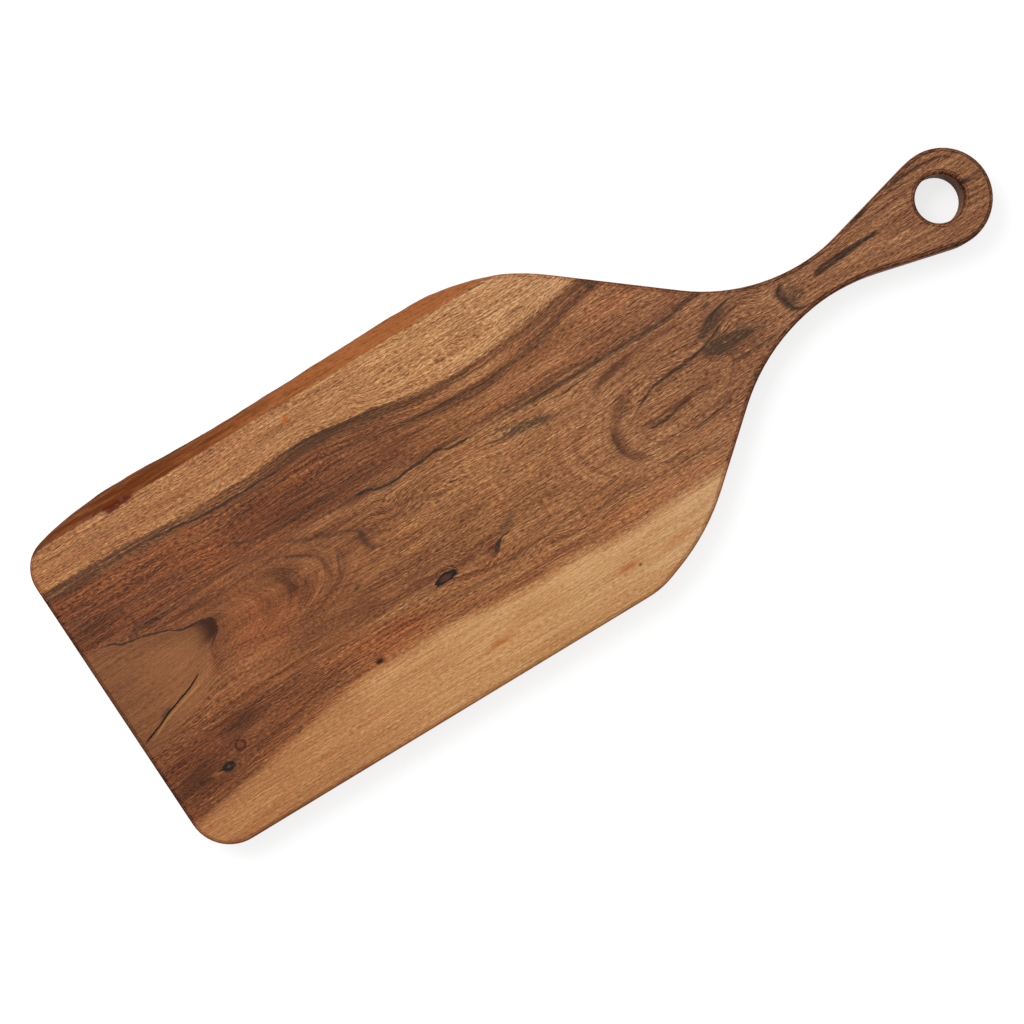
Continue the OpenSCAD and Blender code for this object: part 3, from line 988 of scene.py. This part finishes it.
dark = wood.lines(
    Line(BRANCH_TOP, 0.7, 1.0, 0.6, (12, 1)),
    Line(
        (
            (-101, 27), (-96, 26.1), (-91.4, 25.4), (-88.6, 23.6), (-84, 22.9), (-78.6, 22.5), (-73, 22.9),
            (-68.6, 23.4), (-57, 23.9), (-53, 24.4), (-50, 24.1), (-47, 22.6), (-44, 21.8), (-38, 21.6),
            (-28, 21.4),
        ),
        1.0, 1.0, 0.6, (4, 8),
    ),
    Line(
        ((-40, 21.5), (-10, 21.3), (20, 20.8), (40, 20.7), (75, 21.2), (90, 22), (103, 23.4), (110, 21.6)),
        1.9, 0.85, 0.8, (45, 8),
    ),
    Line(((-30, 24.6), (0, 24), (30, 24.2), (45, 23)), 1.0, 0.55, 0.9),
    Line(((9, 19.6), (20, 16), (30, 16.5), (41, 19.6)), 0.9, 0.8),
    Line(((50, 19.4), (75, 19.6), (92, 20.6)), 0.8, 0.6),
    Line(
        ((-149, 19.8), (-144.3, 17.1), (-140, 15), (-136.4, 12.9), (-132.6, 10.4)),
        1.4, 0.75, 1.0, (3, 3),
    ),
    Line(
        (
            (-147, 27), (-140, 23.6), (-134, 20.7), (-128.6, 18.6), (-123, 16.8), (-118, 14.6),
            (-113, 12.9), (-107, 9.5),
        ),
        2.2, 0.55, 1.0,
    ),
    Line(
        (
            (-4, -99), (-1.6, -104.6), (0.7, -107), (4.3, -107.2), (8.6, -106.6), (10.7, -108.6),
            (13.5, -114),
        ),
        3.2, 0.7, 1.0, (3, 3), True,
    ),
    Line(
        ((-6, -127.2), (-3.6, -126.4), (0, -125.4), (2.9, -123.9), (7, -122.4)),
        1.6, 0.6, 1.0, (3, 3), True,
    ),
    Line(((-6, -132), (3, -131), (8, -131.4), (12, -133.4)), 2.2, 0.4, 1.0, (5, 3), True),
    Line(((-34, 36), (-29, 31.4), (-24, 29.4), (-20, 29.4), (-14, 32)), 1.8, 0.4, 1.0, (6, 6), True),
    Line(
        (
            (40, -15.5), (45, -13), (53, -8.6), (62, -5.4), (72, -4), (82, -3.2), (90, -2), (97, 0),
            (103, 2), (109, 4.4),
        ),
        1.2, 0.95, 0.8, (14, 4),
    ),
    Line(((62, -5.8), (70, -4.4), (80, -3.8), (90, -2.6)), 1.7, 0.85, 0.9, (5, 5)),
    Line(((47, -14), (55, -10.6), (64, -7.4), (74, -6.2), (86, -5)), 0.9, 0.45, 1.0),
    Line(((50, -7), (60, -3.6), (70, -2.2), (82, -1)), 0.9, 0.45, 1.0),
    Line(((96, 6.6), (104, 9.6), (112, 12.4), (122, 15)), 1.3, 0.7, 0.9),
    Line(((101, 4.6), (110, 6.4), (125, 9.4)), 1.2, 0.6, 0.9),
    Line(((100, -12), (112, -12.6), (126, -11)), 1.0, 0.5, 0.9),
    Line(((98, -14.6), (106, -15.6), (116, -15.8), (134, -15)), 1.2, 0.7, 0.9),
    Line(((47, -23.4), (58, -23), (66, -21.2), (76, -19.8)), 1.7, 0.9, 0.9, (3, 4)),
    Line(((64, -35), (80, -33.6), (96, -31)), 0.9, 0.5),
    Line(((160, 0.6), (166, 2.2), (172, 3.0), (182, 3.2), (193, 3.2), (204, 3.4)), 1.4, 1.0, 0.7, (3, 5)),
    Line(((160, 0.4), (172, 0.9), (182, 1.7), (193, 2.5), (204, 3.2)), 1.4, 1.0, 0.7, (3, 5)),
    Line(((162, 0.8), (170, 1.9), (180, 2.4), (188, 2.6)), 1.6, 0.7, 0.9, (2, 4)),
    Line(((189, 12.5), (197, 15), (206, 17.2)), 1.4, 1.0, 0.8),
    Line(((213, 17.5), (225, 20.4), (235, 21.0), (245, 20.2), (251, 17.6), (256, 14)), 1.2, 0.9, 0.8),
    Line(((246, 3.4), (251, 2.4), (259, 1.4)), 1.9, 1.0, 0.7, (1, 6)),
    Line(
        ((-11.5, 149.5), (-10, 146), (-7, 142.6), (-3, 141.8), (1.3, 140.4), (3.8, 141.4), (6.6, 148)),
        4.2, 1.0, 1.0, (1, 2), True,
    ),
    Line(
        ((-37, -53), (-35.4, -51.4), (-33, -49.2), (-31.4, -47.4), (-30.4, -43)),
        2.4, 1.0, 0.6, (0.5, 1.5), True,
    ),
    Line(((-48, -31.6), (-44, -30.6), (-39, -30.4)), 0.7, 0.9, 0.7, (1, 3)),
)
wood.paint(dark, INK)
rust = wood.lines(
    Line(((34, 9.6), (43, 12.6), (53, 14.4), (65, 15.5), (78, 16), (94, 15.4)), 2.6, 0.65, 1.0),
    Line(((45, -20.2), (54, -20.3), (63, -19.4), (78, -19.8)), 1.6, 0.8, 0.8, (3, 4)),
    Line(((84, -31), (95, -29), (106, -26.6)), 1.2, 0.5, 1.0),
    Line(((-106, -30), (-96, -28.4), (-87, -29.8), (-78, -30.4)), 1.2, 0.7, 0.9),
    Line(((-76, -33), (-66, -31.4), (-56, -33)), 1.6, 0.6, 1.0),
    Line(((-250, -31), (-238, -29), (-228, -26.4), (-215, -22.4)), 1.0, 0.55, 1.0),
    Line(((183, 11), (187, 12), (192, 13)), 1.0, 0.6, 0.9, (2, 2)),
    Line(((-75, 15), (-64, 15.8), (-57, 16.4), (-50, 15.2), (-43, 15.4), (-36, 16.4)), 0.7, 0.6, 0.8),
    Line(((-88, 11), (-80, 10.2), (-70, 13), (-60, 13.4), (-50, 12.2), (-38, 13.2)), 0.7, 0.55, 0.8),
)
wood.paint(rust, RED)

# %% [markdown]
# At the blunt end the drying check gets a painted highlight along one lip and painted shade down its
# slot, and bark fills the crotch of the fork. The one knot goes on last.

# %% Handle stave: check, bark and knot
CHECK = (
    (-258, -27), (-255.6, -26), (-251.7, -24.6), (-248, -23.2), (-244.6, -21.8), (-239, -19.3),
    (-234.6, -17.9), (-231.7, -16.8), (-226, -15), (-220.3, -12.5), (-216, -10.2),
)
POCKET_SIDE = ((-3, -204), (1, -199.6), (3.5, -196.4), (7, -195), (10, -195.2), (12.4, -197.4))
CHECK_LIP_HIGHLIGHT = linear(184, 130, 74)
CHECK_SLOT_SHADE = linear(38, 30, 24)
BARK = linear(48, 18, 4)
BARK_RIM = linear(30, 12, 6)
CHECK_SIDE = ((-256, -28.4), (-248, -25), (-239, -21), (-231, -18.6), (-222, -16.2), (-214, -13))
# A painted highlight along one lip of the check, then painted shade down its slot.
lip_highlight = wood.lines(Line(CHECK_SIDE, 0.9, 0.5, 0.9))
wood.paint(lip_highlight, CHECK_LIP_HIGHLIGHT)
check = wood.lines(Line(CHECK, 0.8, 0.85, 0.7, (4, 4)))
wood.paint(check, CHECK_SLOT_SHADE)
inset = wood.sub(wood.along, wood.curve(POCKET_SIDE, wood.across))
pocket = wood.mul(wood.fade(inset, 0.6, -1.0), wood.fade(inset, -13, -3))
pocket = wood.mul(pocket, wood.fade(over_branch, 0.3, -0.8))
pocket = wood.mul(pocket, wood.fade(wood.across, -1, 4))
wood.paint(wood.mul(pocket, 0.95), BARK)
brink = wood.line(Line(POCKET_SIDE, 0.9, 0.85, 0.9, (3, 1), True))
wood.paint(brink, BARK_RIM)
wood.knot(Knot(-81.5, -34.2, 6.6, 2.6, 4, 0.4), (24, 14, 10), (78, 42, 30))
handle_wood = wood.finish(wood.mul(wood.grain["Pore"], plain_wood))

# %% [markdown]
# ## Glue lines
#
# A film of cured wood glue shows as a hair-thin line that is darker than the staves it joins.

# %% Glue lines
DARK_GLUE = linear(66, 40, 26)
PALE_GLUE = linear(104, 66, 42)
GLUE_ROUGHNESS = 0.5
glue = bpy.data.materials.new("cured glue")
glue.use_nodes = True
bench = Bench(glue.node_tree)
fleck = bench.noise(bench.group("Stave Place"), (0.3, 0.3, 0.6))
skin = glue.node_tree.nodes["Principled BSDF"]
bench.feed(skin.inputs["Base Color"], bench.blend(fleck, DARK_GLUE, PALE_GLUE))
skin.inputs["Roughness"].default_value = GLUE_ROUGHNESS
for node in ("lower_glue_line", "upper_glue_line"):
    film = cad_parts[node]
    film.data.materials.clear()
    film.data.materials.append(glue)

# %% [markdown]
# ## Geometry trees
#
# The two shapes that the CAD model leaves out are made with Geometry Nodes. Each tree has named
# inputs and runs once as a modifier, and what it makes is kept as the stave's plain mesh.

# %% Geometry trees
PAINT = "NodeSocketMaterial"


def geometry_tree(name, takes):
    """An empty Geometry Nodes tree; returns its bench, its inputs and its output."""
    tree = bpy.data.node_groups.new(name, "GeometryNodeTree")
    tree.interface.new_socket("Geometry", in_out="INPUT", socket_type="NodeSocketGeometry")
    for label, (kind, value) in takes.items():
        socket = tree.interface.new_socket(label, in_out="INPUT", socket_type=kind)
        if value is not None:
            socket.default_value = value
    tree.interface.new_socket("Geometry", in_out="OUTPUT", socket_type="NodeSocketGeometry")
    bench = Bench(tree)
    return bench, bench.node("NodeGroupInput").outputs, bench.node("NodeGroupOutput").inputs


def deliver(bench, geometry, takes, gives):
    """Ends a tree: plain geometry in the stave's own material."""
    solid = bench.step("GeometryNodeRealizeInstances", {0: geometry})
    painted = {"Geometry": solid, "Material": takes["Material"]}
    bench.feed(gives[0], bench.step("GeometryNodeSetMaterial", painted))


def shaped(blank, tree, values):
    """Runs a tree on a stave and keeps the result as the stave's plain mesh."""
    run = blank.modifiers.new(tree.name, "NODES")
    run.node_group = tree
    for item in tree.interface.items_tree:
        if item.in_out == "INPUT" and item.name in values:
            run[item.identifier] = values[item.name]
    ready = blank.evaluated_get(bpy.context.evaluated_depsgraph_get())
    mesh = bpy.data.meshes.new_from_object(ready)
    blank.modifiers.remove(run)
    blank.data = mesh
    print(blank.name, "after", tree.name, len(mesh.polygons), "faces")


# %% [markdown]
# ## Drying check
#
# As a fork of the trunk dries, it shrinks more round the rings than towards the pith, and the wood
# splits along the grain. The split is cut out of the stave as a real slot: a thin diamond follows the
# line of the check, swells and thins along it, and is taken away from the wood by a boolean.

# %% Drying check
CHECK_JITTER = 1.6
CHECK_SWELL = (
    (-258, 0.1), (-252, 0.5), (-246, 0.95), (-241, 1.0), (-235, 0.7), (-228, 0.55), (-221, 0.4),
    (-216, 0.1),
)
bench, takes, gives = geometry_tree(
    "Drying Check",
    {
        "Half Width": (NUMBER, 0.4 * MM),
        "Depth": (NUMBER, 1.2 * MM),
        "Steps": ("NodeSocketInt", 40),
        "Material": (PAINT, None),
    },
)
ends = {"Start": (CHECK[0][0] * MM, 0, FACE_Z * MM), "End": (CHECK[-1][0] * MM, 0, FACE_Z * MM)}
line = bench.step("GeometryNodeCurvePrimitiveLine", ends)
steps = bench.step("GeometryNodeResampleCurve", {"Curve": line, "Count": takes["Steps"]})
spot = bench.in_mm(bench.step("GeometryNodeInputPosition"))
jitter = bench.centred(bench.noise(spot, (0.5, 0, 0)), CHECK_JITTER)
height = bench.mul(bench.add(bench.curve(CHECK, spot[0]), jitter), MM)
offset = bench.place(0.0, height, 0.0)
bent = bench.step("GeometryNodeSetPosition", {"Geometry": steps, "Offset": offset})
radius = bench.curve(CHECK_SWELL, spot[0])
swelled = bench.step("GeometryNodeSetCurveRadius", {"Curve": bent, "Radius": radius})
upright = bench.step("GeometryNodeSetCurveNormal", {"Curve": swelled}, mode="Z_UP")
diamond = bench.step("GeometryNodeCurvePrimitiveCircle", {"Resolution": 4, "Radius": 1.0})
slimness = bench.place(takes["Half Width"], takes["Depth"], 1.0)
diamond = bench.step("GeometryNodeTransform", {"Geometry": diamond, "Scale": slimness})
sweep = {"Curve": upright, "Profile Curve": diamond, "Fill Caps": True}
split = {"Mesh 1": takes["Geometry"], "Mesh 2": bench.step("GeometryNodeCurveToMesh", sweep)}
stave = bench.step("GeometryNodeMeshBoolean", split, operation="DIFFERENCE", solver="EXACT")
deliver(bench, stave, takes, gives)
shaped(handle, bench.tree, {"Material": handle_wood})

# %% [markdown]
# ## Natural edge
#
# The wane is the tree's own surface under the bark, so it was never flat: it swells where fibres ran
# over a bud and hollows between. The stave is cut into short lengths first, so that there are points
# to move. Each point of the wane then sinks a little along its normal, only inward, so that the board
# keeps its size. The line where the wane meets the serving face wanders to and fro.

# %% Natural edge
RIPPLE_STEP = 3.0
CUT_MARGIN = 0.01 * MM
WANE_LOW, WANE_HIGH = 85.0, 88.0


def sliced(blank, step):
    """Cuts a stave into lengths by planes across it."""
    work = bmesh.new()
    work.from_mesh(blank.data)
    low = min(point.co.x for point in work.verts)
    high = max(point.co.x for point in work.verts)
    for index in range(1, int((high - low) / (step * MM))):
        whole = work.verts[:] + work.edges[:] + work.faces[:]
        there = (low + index * step * MM, 0, 0)
        bmesh.ops.bisect_plane(work, geom=whole, plane_co=there, plane_no=(1, 0, 0), dist=CUT_MARGIN)
    work.to_mesh(blank.data)
    work.free()


sliced(upper, RIPPLE_STEP)
bench, takes, gives = geometry_tree(
    "Natural Edge",
    {"Sink": (NUMBER, 0.6 * MM), "Wave": (NUMBER, 0.9 * MM), "Material": (PAINT, None)},
)
x, y, z = bench.in_mm(bench.step("GeometryNodeInputPosition"))
on_wane = bench.mul(bench.fade(y, WANE_LOW, WANE_HIGH), bench.fade(z, FACE_Z - 0.1, FACE_Z - 1.5))
on_wane = bench.mul(on_wane, bench.fade(z, 0.5, 3.0))
swell = bench.noise((x, z, y), (0.045, 0.16, 0.1), 3.0, 0.55)
sink = bench.mul(bench.mul(bench.fade(swell, 0.3, 0.7), on_wane), bench.mul(takes["Sink"], -1.0))
inward = {"Vector": bench.step("GeometryNodeInputNormal"), "Scale": sink}
inward = bench.step("ShaderNodeVectorMath", inward, operation="SCALE")
lip = bench.mul(bench.fade(z, FACE_Z - 0.2, FACE_Z - 0.01), bench.fade(y, WANE_LOW, WANE_LOW + 1.0))
lip = bench.mul(bench.mul(lip, bench.fade(x, -250, -235)), bench.fade(x, 8, -6))
wave = bench.centred(bench.noise((x, y, z), (0.06, 0, 0), 3.0, 0.6), 2.0)
shift = bench.place(0.0, bench.mul(bench.mul(wave, lip), takes["Wave"]), 0.0)
offset = bench.step("ShaderNodeVectorMath", {0: inward, 1: shift}, operation="ADD")
stave = bench.step("GeometryNodeSetPosition", {"Geometry": takes["Geometry"], "Offset": offset})
deliver(bench, stave, takes, gives)
shaped(upper, bench.tree, {"Material": upper_wood})

# %% [markdown]
# ## Smooth, paint and place the staves
#
# Each stave gets its material and smooth shading with the weighted normals. It then rides on the
# board's one body and stands for its CAD node, which is hidden.

# %% Smooth, paint and place the staves
for blank, node, paint, slot in (
    (lower, "lower_stave", lower_wood, "lower_wood"),
    (handle, "handle_stave", handle_wood, "handle_wood"),
    (upper, "upper_stave", upper_wood, "upper_wood"),
):
    blank.data.materials.clear()
    blank.data.materials.append(paint)
    blank.data.shade_smooth()
    blank.data.set_sharp_from_angle(angle=SHARP_ANGLE)
    weigh = blank.modifiers.new("weighted normals", "WEIGHTED_NORMAL")
    weigh.keep_sharp = True
    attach(blank, "root")
    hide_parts(node)
    print(blank.name, "stands for", node)

# %% [markdown]
# ## Table
#
# The board lies on a plain table that runs out of the picture. The table is grey, so that it takes the
# board's shadow, and glows just enough to look white. Only rays that reach the eye see that glow, so it
# throws no light on the board.

# %% Table
WHITE = (1.0, 1.0, 1.0, 1.0)
TABLE_SIZE = 60.0
TABLE_DROP = 0.3 * MM
TABLE_GREY = (0.35, 0.35, 0.35, 1.0)
TABLE_GLOW = 0.74


def seen(bench):
    """1 for rays that show the background to the eye: straight, mirrored or through glass."""
    rays = bench.node("ShaderNodeLightPath").outputs
    return bench.highest(rays["Is Camera Ray"], rays["Is Glossy Ray"], rays["Is Transmission Ray"])


bpy.ops.mesh.primitive_plane_add(size=TABLE_SIZE, location=(0, 0, -TABLE_DROP))
table = bpy.context.object
table.name = "table"
white = bpy.data.materials.new("white table")
white.use_nodes = True
bench = Bench(white.node_tree)
skin = white.node_tree.nodes["Principled BSDF"]
skin.inputs["Base Color"].default_value = TABLE_GREY
skin.inputs["Roughness"].default_value = 0.9
skin.inputs["Specular IOR Level"].default_value = 0.0
skin.inputs["Emission Color"].default_value = WHITE
bench.feed(skin.inputs["Emission Strength"], bench.mul(seen(bench), TABLE_GLOW))
table.data.materials.append(white)

# %% [markdown]
# ## Light
#
# An even white sky gives most of the light. One large lamp beyond the natural edge adds direction: it
# lifts that edge, leaves the sawn edge a little darker and draws a soft shadow.

# %% Light
SKY_LIGHT = 0.60
KEY_SIZE = 0.9
KEY_POWER = 12.1
KEY_PLACE = (-0.30, 0.85, 0.95)
world = bpy.data.worlds.new("studio")
world.use_nodes = True
bench = Bench(world.node_tree)
sky = world.node_tree.nodes["Background"]
sky.inputs["Color"].default_value = WHITE
bench.feed(sky.inputs["Strength"], bench.between(seen(bench), SKY_LIGHT, 1.0))
bpy.context.scene.world = world

key = bpy.data.objects.new("key light", bpy.data.lights.new("key light", "AREA"))
key.data.size = KEY_SIZE
key.data.energy = KEY_POWER
key.location = KEY_PLACE
key.rotation_euler = (-key.location).to_track_quat("-Z", "Y").to_euler()
bpy.context.scene.collection.objects.link(key)

# %% [markdown]
# ## Camera
#
# The camera looks straight down from about a metre and is turned, so the board lies aslant.

# %% Camera
EYE_PLACE = (-0.03479, -0.02277, 1.062)
EYE_TURN = math.radians(-31.26)
EYE_SENSOR = 36.0
EYE_LENS = 71.33
eye = bpy.data.objects.new("camera", bpy.data.cameras.new("camera"))
eye.data.sensor_width = EYE_SENSOR
eye.data.lens = EYE_LENS
eye.data.clip_start = 0.01
eye.location = EYE_PLACE
eye.rotation_euler = (0, 0, EYE_TURN)
bpy.context.scene.collection.objects.link(eye)
bpy.context.scene.camera = eye
bpy.context.scene.view_settings.view_transform = "Standard"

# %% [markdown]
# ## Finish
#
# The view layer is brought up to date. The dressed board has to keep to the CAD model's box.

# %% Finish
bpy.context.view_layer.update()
